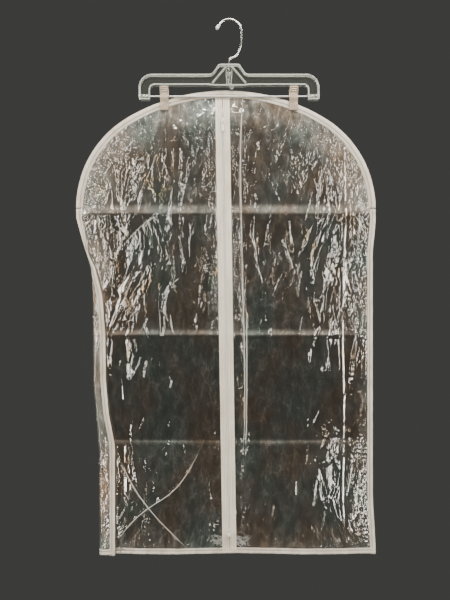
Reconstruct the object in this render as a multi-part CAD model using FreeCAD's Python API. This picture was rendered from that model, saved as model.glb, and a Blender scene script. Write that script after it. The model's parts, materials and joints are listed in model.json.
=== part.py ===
import FreeCAD, Part
import math
import os

from FreeCAD import Vector

# A clear garment bag, closed and empty, gripped by the two clips of a clear skirt hanger.
# Millimetres. +Z is up, +X is to the bag's right as seen from the zipper side, and the zipper faces -Y.
# The origin is the hook's seat: the underside of the wire where it rests on a rail.

# Hook
wire_radius = 1.8
hook_radius = 24.0
hook_centre_x = 0.6
hook_tip_angle = 152.0
shank_bottom_z = -126.0
tip_radius = 3.3
tip_length = 9.0
collar_radius = 3.5
collar_height = 4.0

# Hanger body
arm_half_length = 178.0
leg_width = 22.0
beam_top_z = -108.9
beam_bottom_z = -130.0
leg_bottom_z = -158.6
boss_top_z = -89.0
boss_half_width = 20.0
web_thickness = 2.4
hanger_depth = 12.0
rim_width = 2.2
prop_rib_depth = 10.0
prop_rib_thickness = 1.6
shank_tube_top_z = -93.0
shank_tube_length = 36.0
shank_tube_radii = (6.0, 4.2)
shank_clearance = 0.08
pocket_z = -108.0
pocket_side_clearance = 0.5
pocket_end_clearance = 0.3
window_x = 4.0
window_width = 3.2
window_height = 5.0
ring_centre = (5.0, -133.0)
ring_radius = 4.3
ring_hole_radius = 1.5
ring_thickness = 3.0

# Rod and clips
rod_z = -151.5
rod_radius = 1.5
rod_clearance = 0.06
rod_half_length = 174.0
rod_boss_radius = 3.4
clip_x = 128.0
clip_width = 16.4
leaf_thickness = 0.8
ear_radius = 3.4
ear_reach = 4.6
ear_step = 1.2
handle_rib_radius = 0.9
handle_rib_pitch = 3.9
handle_rib_reach = 5.6
flange_width = 1.6
flange_height = 0.9
jaw_rib_width = 2.3
jaw_rib_pitch = 3.2
jaw_rib_height = 0.8
jaw_rib_top = -14.0
jaw_rib_low = -25.4
pad_half_width = 7.4
pad_top = -17.0
pad_low = -26.4
pad_lip = 1.0
pad_thickness = 1.0
grip_gap = 0.3
coil_half_length = 5.4
coil_outer_radius = 3.1
coil_inner_radius = 1.9

# Bag
bag_x = -6.0
bag_top_z = -139.0
springing_z = -373.0
bag_bottom_z = -1059.5
half_width = 298.0
side_arc_radius = 210.0
seam_y = 3.0
film_thickness = 0.3
film_gap = 0.1
arch_tape_width = 14.0
side_tape_width = 11.0
tape_wall = 0.65
tape_spine = 1.2
rim_end = 22.0
slope_end = 36.0
front_plane_y = -3.65
neck_slot_x = 9.0
neck_slot_length = 6.0
neck_slot_height = 2.4
neck_slot_corner = 1.1
neck_slot_drop = 9.7

# Zipper: it leans from the upright, because the bag is gripped a little off its middle
zip_lean = 0.89
zip_pivot_z = -610.0
coil_inner = 0.8
coil_outer = 2.0
coil_depth = 1.15
tape_outer = 14.15
film_edge = 8.0
tape_thickness = 0.35
slider_z = -202.0
slider_height = 13.0
slider_half_width = 4.6
slider_taper = 1.2
stop_depth = 0.9
stop_gap = 1.5
top_stop_width = 2.2
top_stop_height = 3.6
bottom_stop_half_width = 3.4
bottom_stop_height = 4.2
strap_half_width = 0.8
strap_depth = 2.3
strap_wall = 0.8
puller_length = 19.0
puller_width = 5.4
puller_bar_radius = 0.45
puller_half_thickness = 0.4

# Sizes that follow
bag_rise = bag_top_z - springing_z
arc_offset = half_width - side_arc_radius
crown_radius = (arc_offset ** 2 + bag_rise ** 2 - side_arc_radius ** 2) / (2 * (bag_rise - side_arc_radius))
back_film_y = seam_y + film_gap / 2
front_film_y = seam_y - film_gap / 2
zip_x = bag_x


def save(name, shape):
    shape.exportStep("parts/" + name + ".step")


def box(x0, x1, y0, y1, z0, z1):
    return Part.makeBox(x1 - x0, y1 - y0, z1 - z0, Vector(x0, y0, z0))


def cylinder_x(radius, x0, x1, y, z):
    return Part.makeCylinder(radius, x1 - x0, Vector(x0, y, z), Vector(1, 0, 0))


def cylinder_y(radius, y0, y1, x, z):
    return Part.makeCylinder(radius, y1 - y0, Vector(x, y0, z), Vector(0, 1, 0))


def corner(before, at, after, radius):
    """Start, middle and end of the arc that rounds the corner at a point."""
    back = (before - at).normalize()
    ahead = (after - at).normalize()
    half = back.getAngle(ahead) / 2
    reach = radius / math.tan(half)
    middle = (back + ahead).normalize() * (radius / math.sin(half) - radius)
    return at + back * reach, at + middle, at + ahead * reach


def rounded_edges(points, closed):
    """Straight runs joined by tangent arcs. Each point is (vector, corner radius)."""
    count = len(points)
    order = range(count) if closed else range(1, count - 1)
    arcs = []
    for i in order:
        at, radius = points[i]
        before = points[(i - 1) % count][0]
        after = points[(i + 1) % count][0]
        if radius:
            arcs.append(corner(before, at, after, radius))
        else:
            arcs.append((at, None, at))
    edges = []
    last = arcs[-1][2] if closed else points[0][0]
    for start, middle, end in arcs:
        edges.append(Part.LineSegment(last, start).toShape())
        if middle is not None:
            edges.append(Part.Arc(start, middle, end).toShape())
        last = end
    if not closed:
        edges.append(Part.LineSegment(last, points[-1][0]).toShape())
    return edges


def plate(points, y0, y1):
    """A flat plate from y0 to y1 with its outline given as (x, z, corner radius)."""
    outline = [(Vector(x, y0, z), radius) for x, z, radius in points]
    wire = Part.Wire(rounded_edges(outline, True))
    return Part.Face(wire).extrude(Vector(0, y1 - y0, 0))


def wire_solid(edges, start, direction, radius):
    """A round wire swept along a path."""
    profile = Part.Wire(Part.makeCircle(radius, start, direction))
    return Part.Wire(edges).makePipeShell([profile], True, False)


# Hook

def hook_path():
    """The hook's centreline from its tip, over the rail, down to the foot of the shank."""
    centre = Vector(hook_centre_x, 0, wire_radius - hook_radius)

    def on_arc(degrees):
        angle = math.radians(degrees)
        return centre + Vector(hook_radius * math.cos(angle), 0, hook_radius * math.sin(angle))

    edges = [Part.Arc(on_arc(hook_tip_angle), on_arc(hook_tip_angle / 2), on_arc(0)).toShape()]
    side = [
        (on_arc(0), 0),
        (Vector(24.6, 0, -50.5), 30),
        (Vector(15.0, 0, -71.4), 9),
        (Vector(0, 0, -77.6), 6),
        (Vector(0, 0, shank_bottom_z), 0),
    ]
    edges += rounded_edges(side, False)
    tangent = Vector(math.sin(math.radians(hook_tip_angle)), 0, -math.cos(math.radians(hook_tip_angle)))
    return edges, on_arc(hook_tip_angle), tangent


def hanger_hook():
    edges, tip, tangent = hook_path()
    return wire_solid(edges, tip, tangent, wire_radius)


def hook_tip():
    """The rounded vinyl cap that covers the end of the wire."""
    tip, tangent = hook_path()[1:]
    outward = tangent * -1
    body = Part.makeCylinder(tip_radius, tip_length - tip_radius, tip, outward)
    end = Part.makeSphere(tip_radius, tip + outward * (tip_length - tip_radius))
    return body.fuse(end).removeSplitter()


def hook_collar():
    """The ring pressed on the shank, which carries the hanger inside its boss."""
    base = Vector(0, 0, pocket_z - collar_height / 2)
    collar = Part.makeCylinder(collar_radius, collar_height, base)
    return collar.cut(Part.makeCylinder(wire_radius, collar_height, base))


# Hanger

def hanger_outline():
    leg_inner = arm_half_length - leg_width
    right = [
        (boss_half_width, boss_top_z, 6),
        (33.5, beam_top_z, 12),
        (arm_half_length, beam_top_z, 26),
        (arm_half_length, leg_bottom_z, 3),
        (leg_inner, leg_bottom_z, 3),
        (leg_inner, beam_bottom_z, 9),
        (40, beam_bottom_z, 25),
        (30, beam_bottom_z - 1.5, 25),
    ]
    left = [(-x, z, radius) for x, z, radius in reversed(right)]
    return right + left


def slanted_rib(side):
    """The rib that props the boss against the beam."""
    top = Vector(side * 6.5, 0, -94)
    foot = Vector(side * 33, 0, -125)
    along = foot - top
    half_depth = prop_rib_depth / 2
    half_thickness = prop_rib_thickness / 2
    rib = box(0, along.Length, -half_depth, half_depth, -half_thickness, half_thickness)
    angle = math.degrees(math.atan2(-along.z, along.x))
    rib.rotate(Vector(0, 0, 0), Vector(0, 1, 0), angle)
    rib.translate(top)
    return rib


def shank_tube():
    """The tapered tube that the shank turns in, before it is bored."""
    top = Vector(0, 0, shank_tube_top_z)
    return Part.makeCone(*shank_tube_radii, shank_tube_length, top, Vector(0, 0, -1))


def rod_boss(side):
    x0, x1 = sorted((side * (arm_half_length - leg_width), side * (arm_half_length - 2)))
    return cylinder_x(rod_boss_radius, x0, x1, 0, rod_z)


def eyelet_ring():
    """The small moulded ring under the beam, with the neck that joins it on."""
    x, z = ring_centre
    half = ring_thickness / 2
    ring = cylinder_y(ring_radius, -half, half, x, z)
    neck = box(x - 3, x + 3, -half, half, z + 1.6, beam_bottom_z)
    hole = cylinder_y(ring_hole_radius, -half, half, x, z)
    return ring.fuse(neck).cut(hole)


def collar_pocket():
    """The space in the boss that the collar turns in."""
    radius = collar_radius + pocket_side_clearance
    height = collar_height + 2 * pocket_end_clearance
    return Part.makeCylinder(radius, height, Vector(0, 0, pocket_z - height / 2))


def pocket_window(x):
    """An opening in the boss, beside the shank, that shows the collar."""
    across = window_width / 2
    up = window_height / 2
    far = hanger_depth / 2 + 1
    return box(x - across, x + across, -far, far, pocket_z - up, pocket_z + up)


def hanger_body():
    outline = hanger_outline()
    half_depth = hanger_depth / 2
    solid = plate(outline, -half_depth, half_depth)
    corners = [(Vector(x, 0, z), radius) for x, z, radius in outline]
    inner = Part.Face(Part.Wire(rounded_edges(corners, True))).makeOffset2D(-rim_width)
    half_web = web_thickness / 2
    for y0, y1 in ((-half_depth, -half_web), (half_web, half_depth)):
        pocket = inner.copy()
        pocket.translate(Vector(0, y0, 0))
        solid = solid.cut(pocket.extrude(Vector(0, y1 - y0, 0)))
    extras = [shank_tube(), eyelet_ring()]
    extras += [slanted_rib(side) for side in (-1, 1)]
    extras += [rod_boss(side) for side in (-1, 1)]
    solid = solid.fuse(extras)
    bore_foot = Vector(0, 0, shank_bottom_z - 0.5)
    bore = Part.makeCylinder(wire_radius + shank_clearance, boss_top_z + 10 - bore_foot.z, bore_foot)
    windows = [pocket_window(x) for x in (-window_x, window_x)]
    return solid.cut([bore, collar_pocket(), clip_rod()] + windows).removeSplitter()


def clip_rod():
    return cylinder_x(rod_radius, -rod_half_length, rod_half_length, 0, rod_z)


# Clips

# Mid-lines of the two leaves from the handle's end to the jaw's: (y, height above the rod, bend radius)
front_profile = [
    (-6.9, 19.2, 0), (-6.2, 12, 14), (-4.5, 5, 10),
    (-4.4, -3, 8), (0.3, -12.5, 10), (0.3, pad_low, 0),
]
back_profile = [
    (10.4, 17.6, 0), (8.6, 12, 14), (5.0, 5, 10),
    (4.9, -3, 8), (5.7, -12.5, 10), (5.7, pad_low, 0),
]


def strip(profile, x0, x1, low, high):
    """A bent strip along a profile, from x0 to x1, whose faces lie low and high behind the profile."""
    points = [(Vector(x0, y, rod_z + z), radius) for y, z, radius in profile]
    line = Part.Wire(rounded_edges(points, False))
    start = points[0][0]
    direction = (points[1][0] - start).normalize()
    behind = Vector(1, 0, 0).cross(direction).normalize()
    width = Vector(x1 - x0, 0, 0)
    corners = [start + behind * high, start + behind * low]
    corners += [corners[1] + width, corners[0] + width]
    section = Part.makePolygon(corners + [corners[0]])
    return line.makePipeShell([section], True, False)


def leaf_plate(profile):
    """The leaf itself, as wide as the clip."""
    return strip(profile, -clip_width / 2, clip_width / 2, -leaf_thickness / 2, leaf_thickness / 2)


def handle_flange(profile, side, end):
    """The raised rim along one edge of the handle."""
    outer = end * clip_width / 2
    x0, x1 = sorted((outer, outer - end * flange_width))
    low, high = sorted((0, side * (leaf_thickness / 2 + flange_height)))
    return strip(profile[:3], x0, x1, low, high)


def ear(x0, x1, side):
    """A side plate that reaches from the leaf to the rod."""
    disc = cylinder_x(ear_radius, x0, x1, 0, rod_z)
    reach = box(x0, x1, *sorted((0, side * ear_reach)), rod_z - ear_radius, rod_z + ear_radius)
    return disc.fuse(reach)


def handle_ribs(profile, side):
    """Three raised bars across the handle, for the fingers, between its rims."""
    bars = []
    for i in range(3):
        z = profile[0][1] - handle_rib_pitch * (i + 0.6)
        above, below = [pair for pair in zip(profile, profile[1:]) if pair[1][1] <= z <= pair[0][1]][0]
        share = (above[1] - z) / (above[1] - below[1])
        y = above[0] + share * (below[0] - above[0]) + side * leaf_thickness / 2
        bars.append(cylinder_x(handle_rib_radius, -handle_rib_reach, handle_rib_reach, y, rod_z + z))
    return bars


def jaw_ribs(y, side):
    """Five raised bands down the jaw, which stiffen it."""
    y0, y1 = sorted((y, y + side * jaw_rib_height))
    half = jaw_rib_width / 2
    places = [jaw_rib_pitch * k for k in range(-2, 3)]
    return [box(x - half, x + half, y0, y1, rod_z + jaw_rib_low, rod_z + jaw_rib_top) for x in places]


def clip_leaf(profile, side, ear_outer):
    solid = leaf_plate(profile)
    ears = [ear(*sorted((s * (ear_outer - leaf_thickness), s * ear_outer)), side) for s in (-1, 1)]
    flanges = [handle_flange(profile, side, end) for end in (-1, 1)]
    ribs = handle_ribs(profile, side) + jaw_ribs(profile[-1][0], side)
    solid = solid.fuse(ears + flanges + ribs)
    hole = cylinder_x(rod_radius + rod_clearance, -clip_width, clip_width, 0, rod_z)
    return solid.cut(hole).removeSplitter()


def jaw_pad(side):
    """The soft pad on the inside of a jaw, with the lip that shows below the metal."""
    face = seam_y + side * (tape_wall + film_thickness + film_gap / 2 + grip_gap)
    y0, y1 = sorted((face, face + side * pad_thickness))
    lip0, lip1 = sorted((face, face + side * (pad_thickness + leaf_thickness)))
    low = rod_z + pad_low
    pad = box(-pad_half_width, pad_half_width, y0, y1, low, rod_z + pad_top)
    lip = box(-pad_half_width, pad_half_width, lip0, lip1, low - pad_lip, low)
    return pad.fuse(lip).removeSplitter()


def clip_spring():
    """The outer shape of the torsion coil that closes the jaws."""
    coil = cylinder_x(coil_outer_radius, -coil_half_length, coil_half_length, 0, rod_z)
    return coil.cut(cylinder_x(coil_inner_radius, -coil_half_length, coil_half_length, 0, rod_z))


def save_clip(name, x):
    pieces = {
        "front_leaf": clip_leaf(front_profile, -1, clip_width / 2),
        "back_leaf": clip_leaf(back_profile, 1, clip_width / 2 - ear_step),
        "front_pad": jaw_pad(-1),
        "back_pad": jaw_pad(1),
        "spring": clip_spring(),
    }
    for piece, solid in pieces.items():
        solid.translate(Vector(x, 0, 0))
        save(name + "_" + piece, solid)


# Bag

def bag_wire(inset, y):
    """The bag's outline, a three-centred arch on straight sides, drawn in by inset."""
    crown = crown_radius - inset
    side = side_arc_radius - inset
    crown_z = bag_top_z - crown_radius
    tangent = math.atan2(arc_offset, springing_z - crown_z)
    edge = half_width - inset
    low = bag_bottom_z + inset

    def on(centre_x, centre_z, radius, angle):
        return Vector(bag_x + centre_x + radius * math.sin(angle), y, centre_z + radius * math.cos(angle))

    right_low = Vector(bag_x + edge, y, low)
    left_low = Vector(bag_x - edge, y, low)
    right_spring = Vector(bag_x + edge, y, springing_z)
    left_spring = Vector(bag_x - edge, y, springing_z)
    shoulder = (tangent + math.pi / 2) / 2
    edges = [
        Part.LineSegment(left_low, right_low).toShape(),
        Part.LineSegment(right_low, right_spring).toShape(),
        Part.Arc(
            right_spring,
            on(arc_offset, springing_z, side, shoulder),
            on(arc_offset, springing_z, side, tangent),
        ).toShape(),
        Part.Arc(
            on(0, crown_z, crown, tangent),
            on(0, crown_z, crown, 0),
            on(0, crown_z, crown, -tangent),
        ).toShape(),
        Part.Arc(
            on(-arc_offset, springing_z, side, -tangent),
            on(-arc_offset, springing_z, side, -shoulder),
            left_spring,
        ).toShape(),
        Part.LineSegment(left_spring, left_low).toShape(),
    ]
    return Part.Wire(edges)


def bag_plate(inset, y0, y1):
    return Part.Face(bag_wire(inset, y0)).extrude(Vector(0, y1 - y0, 0))


def pillow(shift):
    """The hollow of the front half: from the flat rim forward to the flat front, moved by shift along Y."""
    rim = bag_wire(rim_end, front_film_y + shift)
    front = bag_wire(slope_end, front_plane_y + shift)
    return Part.makeLoft([rim, front], True, True)


def front_skin(thickness, shift):
    """A skin on the front: flat at the rim, sloping forward, then flat. Its inner face is at shift."""
    outer = pillow(shift - thickness)
    rim = bag_plate(tape_spine, front_film_y + shift - thickness, front_film_y + shift)
    return rim.fuse(outer).cut(pillow(shift))


def binding(width, z0, z1):
    """Folded tape along the outline between two heights: two walls joined by a spine outside the film."""
    outer_wall = tape_wall + film_thickness + film_gap / 2
    inner_wall = film_thickness + film_gap / 2
    tape = bag_plate(0, seam_y - outer_wall, seam_y + outer_wall)
    tape = tape.cut(bag_plate(width, seam_y - outer_wall, seam_y + outer_wall))
    tape = tape.cut(bag_plate(tape_spine, seam_y - inner_wall, seam_y + inner_wall))
    reach = half_width + 10
    return tape.common(box(bag_x - reach, bag_x + reach, -20, 20, z0, z1))


def neck_hole():
    """The small slot through the band and the film behind the hanger's ring."""
    x0 = bag_x + neck_slot_x - neck_slot_length / 2
    x1 = x0 + neck_slot_length
    z0 = bag_top_z - neck_slot_drop - neck_slot_height / 2
    z1 = z0 + neck_slot_height
    corners = ((x0, z0), (x1, z0), (x1, z1), (x0, z1))
    return plate([(x, z, neck_slot_corner) for x, z in corners], 0, 2 * seam_y)


def lean(shape):
    """Turns a shape built on the bag's middle line to the zipper's slight lean."""
    shape.rotate(Vector(zip_x, 0, zip_pivot_z), Vector(0, 1, 0), -zip_lean)
    return shape


def save_bag():
    slot = neck_hole()
    save("back_panel", bag_plate(tape_spine, back_film_y, back_film_y + film_thickness).cut(slot))
    film = front_skin(film_thickness, 0).cut(slot)
    far = half_width + 20
    low = bag_bottom_z - 20
    save("front_panel_left", film.common(lean(box(bag_x - far, zip_x - film_edge, -20, 20, low, 0))))
    save("front_panel_right", film.common(lean(box(zip_x + film_edge, bag_x + far, -20, 20, low, 0))))
    hem_top = bag_bottom_z + side_tape_width
    save("arch_binding", binding(arch_tape_width, springing_z, 0).cut(slot))
    sides = binding(side_tape_width, hem_top, springing_z).Solids
    sides.sort(key=lambda solid: solid.CenterOfMass.x)
    save("side_binding_left", sides[0])
    save("side_binding_right", sides[1])
    save("hem_binding", binding(side_tape_width, bag_bottom_z - 5, hem_top))


# Zipper

def save_zipper():
    low = bag_bottom_z + side_tape_width + 0.2
    tape_top = bag_top_z - arch_tape_width - 0.4
    tape = front_skin(tape_thickness, -film_thickness)
    coil = pillow(film_gap - coil_depth).cut(pillow(film_gap))
    coil_top = bag_top_z - slope_end + 2
    coil_low = bag_bottom_z + slope_end - 2
    for name, side in (("left", -1), ("right", 1)):
        x0, x1 = sorted((zip_x + side * coil_outer, zip_x + side * tape_outer))
        save("zipper_tape_" + name, tape.common(lean(box(x0, x1, -20, 20, low, tape_top))))
        x0, x1 = sorted((zip_x + side * coil_inner, zip_x + side * coil_outer))
        save("zipper_coil_" + name, coil.common(lean(box(x0, x1, -20, 20, coil_low, coil_top))))


def stop_block(x0, x1, z0, z1):
    front = front_plane_y - film_thickness - tape_thickness
    return box(x0, x1, front - stop_depth, front, z0, z1)


def save_stops():
    """Crimped stops on the tapes just above the slider, and one across both tapes at the foot."""
    top = slider_z + slider_height / 2 + stop_gap
    foot = bag_bottom_z + slope_end + 4
    pair = []
    for side in (-1, 1):
        x0, x1 = sorted((zip_x + side * coil_outer, zip_x + side * (coil_outer + top_stop_width)))
        pair.append(stop_block(x0, x1, top, top + top_stop_height))
    save("zipper_top_stops", lean(Part.makeCompound(pair)))
    x0, x1 = zip_x - bottom_stop_half_width, zip_x + bottom_stop_half_width
    bottom = box(x0, x1, -5.6, -4.75, foot, foot + bottom_stop_height)
    save("zipper_bottom_stop", lean(bottom))


def slider_layers():
    """Depths of the slider's plates: front, channel, slot for the tapes, back."""
    tape_front = front_plane_y - film_thickness - tape_thickness
    return {
        "front": -5.95,
        "channel_front": -5.0,
        "slot_front": tape_front - 0.3,
        "slot_back": front_plane_y - film_thickness + 0.3,
        "channel_back": -3.2,
        "back": -2.3,
    }


def zipper_slider():
    """Two plates around the coil, the post that joins them between its halves, and the puller's strap."""
    y = slider_layers()
    half = slider_height / 2
    low_half_width = slider_half_width - slider_taper
    outline = [
        (zip_x - slider_half_width, slider_z + half, 1.5),
        (zip_x - low_half_width, slider_z - half, 1.5),
        (zip_x + low_half_width, slider_z - half, 1.5),
        (zip_x + slider_half_width, slider_z + half, 1.5),
    ]
    body = plate(outline, y["front"], y["back"])
    channel = coil_outer + 0.3
    far = slider_half_width + 1
    top = slider_z + half + 1
    low = slider_z - half - 1
    body = body.cut(box(zip_x - channel, zip_x + channel, y["channel_front"], y["channel_back"], low, top))
    body = body.cut(box(zip_x - far, zip_x + far, y["slot_front"], y["slot_back"], low, top))
    post = box(
        zip_x - coil_inner + 0.3, zip_x + coil_inner - 0.3,
        y["channel_front"], y["channel_back"], slider_z + half - 4, slider_z + half - 0.4,
    )
    return body.fuse([post, puller_strap()]).removeSplitter()


def puller_strap():
    """The loop on the slider's face that holds the puller."""
    front = slider_layers()["front"]
    low, top = slider_z - 2.4, slider_z + 4.4
    loop = box(zip_x - strap_half_width, zip_x + strap_half_width, front - strap_depth, front, low, top)
    inside_front = front - strap_depth + strap_wall
    return loop.cut(box(zip_x - 1, zip_x + 1, inside_front, front, low + strap_wall, top - strap_wall))


def puller_axis():
    """Depth and height of the puller's crossbar."""
    return slider_layers()["front"] - 0.75, slider_z - 0.7


def slider_puller():
    """A flat tab whose crossbar lies behind the strap, so that it hangs and flips up."""
    y, z = puller_axis()
    half = puller_width / 2
    bar = cylinder_x(puller_bar_radius, zip_x - half + 0.3, zip_x + half - 0.3, y, z)
    outline = [
        (zip_x - half, z, 0.4),
        (zip_x - half, z - puller_length, 2.2),
        (zip_x + half, z - puller_length, 2.2),
        (zip_x + half, z, 0.4),
    ]
    tab = plate(outline, y - puller_half_thickness, y + puller_half_thickness)
    tab = tab.cut(box(zip_x - 1.5, zip_x + 1.5, y - 1, y + 1, z - 6.4, z + 1))
    return tab.fuse(bar).removeSplitter()


os.makedirs("parts", exist_ok=True)
save("hanger_hook", hanger_hook())
save("hook_tip", hook_tip().cut(hanger_hook()))
save("hook_collar", hook_collar())
save("hanger_body", hanger_body())
save("clip_rod", clip_rod())
save_clip("clip_left", -clip_x)
save_clip("clip_right", clip_x)
save_bag()
save_zipper()
save_stops()
save("zipper_slider", lean(zipper_slider()))
save("slider_puller", lean(slider_puller()))
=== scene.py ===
"""Looks of the garment bag and its clip hanger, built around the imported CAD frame.

Metres, +Z up, zipper towards -Y. A flat place on the bag is (u, z): u across from its middle, z its height.
"""

import json
import math

import bmesh
import bpy
import numpy as np
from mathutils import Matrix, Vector


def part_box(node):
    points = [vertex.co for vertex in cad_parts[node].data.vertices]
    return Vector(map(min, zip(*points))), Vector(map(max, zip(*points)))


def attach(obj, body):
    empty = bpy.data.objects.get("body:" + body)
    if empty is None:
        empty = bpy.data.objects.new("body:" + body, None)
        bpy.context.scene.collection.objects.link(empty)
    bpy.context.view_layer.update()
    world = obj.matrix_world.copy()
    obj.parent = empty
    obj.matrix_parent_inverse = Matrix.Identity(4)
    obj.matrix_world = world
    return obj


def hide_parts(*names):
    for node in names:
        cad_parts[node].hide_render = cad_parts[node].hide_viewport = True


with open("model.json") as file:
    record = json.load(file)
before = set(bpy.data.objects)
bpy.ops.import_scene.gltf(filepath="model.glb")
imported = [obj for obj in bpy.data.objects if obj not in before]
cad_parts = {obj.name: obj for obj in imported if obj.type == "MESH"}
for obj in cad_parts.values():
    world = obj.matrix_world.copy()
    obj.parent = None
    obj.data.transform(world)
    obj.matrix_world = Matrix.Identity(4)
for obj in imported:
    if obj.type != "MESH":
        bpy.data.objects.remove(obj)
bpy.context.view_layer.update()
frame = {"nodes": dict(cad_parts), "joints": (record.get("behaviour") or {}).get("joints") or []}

MM = 0.001
SIDES = (("left", -1), ("right", 1))

# Places read from the frame. The arch starts at SPRING_Z.
ARCH_LOW, ARCH_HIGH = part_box("arch_binding")
SLIDER_LOW, SLIDER_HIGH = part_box("zipper_slider")
BAG_X = (ARCH_LOW.x + ARCH_HIGH.x) / 2
HALF_WIDTH = (ARCH_HIGH.x - ARCH_LOW.x) / 2
TOP_Z = ARCH_HIGH.z
SPRING_Z = ARCH_LOW.z
BOTTOM_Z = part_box("hem_binding")[0].z
SEAM_Y = (ARCH_LOW.y + ARCH_HIGH.y) / 2
CLIP_X = abs(sum(v.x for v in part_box("clip_left_spring")) / 2)

# The arch is three-centred: a crown arc between two side arcs
SIDE_RADIUS = 210 * MM
ARC_OFFSET = HALF_WIDTH - SIDE_RADIUS
RISE = TOP_Z - SPRING_Z
CROWN_RADIUS = (ARC_OFFSET ** 2 + RISE ** 2 - SIDE_RADIUS ** 2) / (2 * (RISE - SIDE_RADIUS))
CROWN_Z = TOP_Z - CROWN_RADIUS
TANGENT = math.atan2(ARC_OFFSET, SPRING_Z - CROWN_Z)

# The zipper's slight lean, as the slide joint has it
SLIDE_AXIS = next(j["axis"] for j in frame["joints"] if j["name"] == "zipper_slide")
LEAN = -SLIDE_AXIS[0] / SLIDE_AXIS[2]
SLIDER_X = (SLIDER_LOW.x + SLIDER_HIGH.x) / 2 - BAG_X
SLIDER_Z = (SLIDER_LOW.z + SLIDER_HIGH.z) / 2

# Film: how far forward the front lies, inset from the outline, least gap to the seam, and mesh step
FRONT_Y = -3.8 * MM
FILM_INSET = 3 * MM
FILM_GAP = 0.06 * MM
FILM_STEP = 2.3 * MM

# Inner radius of the fold where the left edge turns to the front, and how much the turned part is narrowed
FOLD_RADIUS = 4.5 * MM
FLAP_SCALE = 0.96

# Folds from when the bag was packed: heights of the level ones, the way each steps (1 if the film steps back
# below it) and how far, and the places across and lower ends of the upright ones
LEVEL_FOLDS = (-0.383, -0.624, -0.832)
FOLD_STEPS = ((1, 3.4 * MM), (1, 3.4 * MM), (-1, 2.4 * MM))
QUARTER_HEIGHT = 0.2245
UPRIGHT_FOLDS = ((-0.094, -0.50), (-0.030, -0.39), (0.036, -0.90), (0.236, -1.05))

# For each quarter between the level folds, from the top: how strong the creases are, how dense they are
# beside the side seams, and how cloudy the film is
QUARTER_CREASES = (0.68, 1.0, 0.42, 0.62)
SIDE_CREASES = (0.42, 0.42, 0.10, 0.22)
QUARTER_HAZE = (0.022, 0.013, 0.009, 0.014)

# Short creases: number, spread of direction, lengths, widths, slopes, and whether they gather in busy places
SHORT_CREASES = (
    (130, 0.26, (60 * MM, 190 * MM), (4 * MM, 9 * MM), (0.14, 0.36), False),
    (560, 0.30, (16 * MM, 80 * MM), (1.9 * MM, 3.2 * MM), (0.2, 0.55), True),
    (260, 1.0, (8 * MM, 24 * MM), (1.8 * MM, 2.8 * MM), (0.15, 0.45), True),
)

# Sharp front-film creases with painted highlight lines: two upright ones, and two that cross low on the left
PAINTED_HIGHLIGHT_CREASES = (
    ((0.0345, -0.150), (0.0295, -0.350), (0.036, -0.600), (0.036, -0.838)),
    ((0.0415, -0.580), (0.042, -0.71), (0.0405, -0.838)),
    ((-0.221, -1.027), (-0.159, -0.965), (-0.111, -0.933), (-0.059, -0.860)),
    ((-0.213, -0.882), (-0.159, -0.965), (-0.091, -1.038)),
)
# Distance from such a crease, where a sheet has none
NO_CREASE = 1.0

# Tapes: reach of the wide ones over the film, mesh step, lift off the seam's plane, hem waves, top slot
TAPE_REACH = 14 * MM
TAPE_STEP = 4 * MM
LIFT = 0.09 * MM
HEM_WAVE = 1.2 * MM
SLOT_X = BAG_X + 9 * MM
SLOT_Z = TOP_Z - 9.7 * MM
SLOT_LENGTH = 6 * MM
SLOT_HEIGHT = 2.4 * MM

# Stitches: pitch, length, the thread with its ends' share of its radius, and how deep a stitch's points sink
STITCH_PITCH = 4.2 * MM
STITCH_LENGTH = 3.2 * MM
THREAD_RADIUS = 0.28 * MM
THREAD_END = 0.45
STITCH_SINK = np.array([0.25, -0.12, -0.12, 0.25]) * MM
ZIPPER_STITCH_SINK = np.array([0.2, -0.12, -0.12, 0.2]) * MM


def smooth(low, high, x):
    """A soft step from 0 at the low value to 1 at the high one. It falls if high is below low."""
    t = np.clip((x - low) / (high - low), 0, 1)
    return t * t * (3 - 2 * t)


def bump_at(x, centre, width):
    return np.exp(-((x - centre) / width) ** 2)


# Objects and meshes

def add_object(name, data):
    piece = bpy.data.objects.new(name, data)
    bpy.context.scene.collection.objects.link(piece)
    return piece


def mesh_object(name, points, faces, material):
    mesh = bpy.data.meshes.new(name)
    mesh.from_pydata([tuple(p) for p in points], [], faces)
    mesh.materials.append(material)
    mesh.polygons.foreach_set("use_smooth", [True] * len(mesh.polygons))
    mesh.validate()
    mesh.update()
    return add_object(name, mesh)


def grid_faces(rows, columns, wrap=False, first=0):
    """Quads of a grid of points stored row by row. If wrapped, the last column joins the first."""
    r, c = np.meshgrid(np.arange(rows - 1), np.arange(columns if wrap else columns - 1), indexing="ij")
    here = r * columns
    above = here + columns
    beside = (c + 1) % columns
    quads = np.stack([here + c, here + beside, above + beside, above + c], -1)
    return (quads.reshape(-1, 4) + first).tolist()


def closed_faces(rows, columns, first=0):
    """Faces of a closed tube: its wall and a cap on each end."""
    start = [first + k for k in range(columns)]
    end = [first + (rows - 1) * columns + k for k in range(columns)]
    return grid_faces(rows, columns, True, first) + [start[::-1], end]


def merge_close(piece, distance):
    work = bmesh.new()
    work.from_mesh(piece.data)
    bmesh.ops.remove_doubles(work, verts=work.verts, dist=distance)
    bmesh.ops.recalc_face_normals(work, faces=work.faces)
    work.to_mesh(piece.data)
    work.free()


def unit(vectors):
    tiny = 1e-12
    return vectors / (np.linalg.norm(vectors, axis=1)[:, None] + tiny)


def tube_rings(path, radii, sides):
    """Rings of points around a path, which doesn't run along Y."""
    along = unit(np.gradient(path, axis=0))
    side = unit(np.cross(along, [0.0, 1.0, 0.0]))
    up = np.cross(side, along)
    angle = np.arange(sides) / sides * 2 * math.pi
    ring = side[:, None, :] * np.cos(angle)[None, :, None] + up[:, None, :] * np.sin(angle)[None, :, None]
    return path[:, None, :] + ring * radii[:, None, None]


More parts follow.
